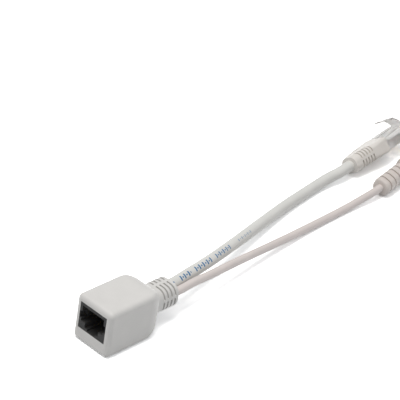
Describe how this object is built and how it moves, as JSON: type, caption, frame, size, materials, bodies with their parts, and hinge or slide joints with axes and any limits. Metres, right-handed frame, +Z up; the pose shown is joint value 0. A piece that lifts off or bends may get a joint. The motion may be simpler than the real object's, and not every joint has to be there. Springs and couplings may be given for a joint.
{
  "type": "poe splitter",
  "caption": "Small box with a modular data socket in front and short cables from a grooved relief at the back, ending in a clear data plug and a round barrel power plug.",
  "frame": {"origin": "centre of the underside of the housing with its cable relief, on the surface that it stands on", "axes": "+Z up, -Y out of the socket's mouth, +Y along the relief towards the cables, +X to the right when the socket is looked into"},
  "size_m": [0.0505, 0.2369, 0.0209],
  "materials": {
    "housing": "fine satin moulded plastic, light grey",
    "inner_mould": "cast resin, pale",
    "jack": "moulded, black",
    "gold_contact": "plated, polished",
    "wire_1": "insulation, white with orange",
    "wire_2": "insulation, orange",
    "wire_3": "insulation, white with green",
    "wire_6": "insulation, green",
    "wire_positive": "insulation, red",
    "wire_negative": "insulation, black",
    "solder": "soldered, dull",
    "data_cable": "extruded sheath, light grey",
    "power_cable": "extruded sheath, warm light grey",
    "data_boot": "moulded boot, light grey",
    "power_boot": "moulded collar and grip, warm light grey",
    "clear_plug": "clear moulded plastic",
    "barrel": "nickel plated",
    "insulator": "moulded, black",
    "centre_contact": "nickel plated"
  },
  "bodies": {
    "root": {"housing": "housing", "inner_mould": "inner_mould", "jack_body": "jack", "jack_contact_1": "gold_contact", "jack_contact_2": "gold_contact", "jack_contact_3": "gold_contact", "jack_contact_4": "gold_contact", "jack_contact_5": "gold_contact", "jack_contact_6": "gold_contact", "jack_contact_7": "gold_contact", "jack_contact_8": "gold_contact", "data_wire_pin_1": "wire_1", "data_wire_pin_2": "wire_2", "data_wire_pin_3": "wire_3", "data_wire_pin_6": "wire_6", "power_bridge_positive": "solder", "power_bridge_negative": "solder", "power_wire_positive": "wire_positive", "power_wire_negative": "wire_negative", "data_cable_housing_end": "data_cable", "data_cable": "data_cable", "data_cable_plug_end": "data_cable", "power_cable_housing_end": "power_cable", "power_cable": "power_cable", "power_cable_plug_end": "power_cable", "data_plug_boot": "data_boot", "data_plug_body": "clear_plug", "data_plug_contact_1": "gold_contact", "data_plug_contact_2": "gold_contact", "data_plug_contact_3": "gold_contact", "data_plug_contact_4": "gold_contact", "data_plug_contact_5": "gold_contact", "data_plug_contact_6": "gold_contact", "data_plug_contact_7": "gold_contact", "data_plug_contact_8": "gold_contact", "data_plug_wire_1": "wire_1", "data_plug_wire_2": "wire_2", "data_plug_wire_3": "wire_3", "data_plug_wire_6": "wire_6", "power_plug_body": "power_boot", "power_plug_barrel": "barrel", "power_plug_insulator": "insulator", "power_plug_centre_contact": "centre_contact", "power_plug_wire_positive": "wire_positive", "power_plug_wire_negative": "wire_negative"}
  },
  "joints": []
}
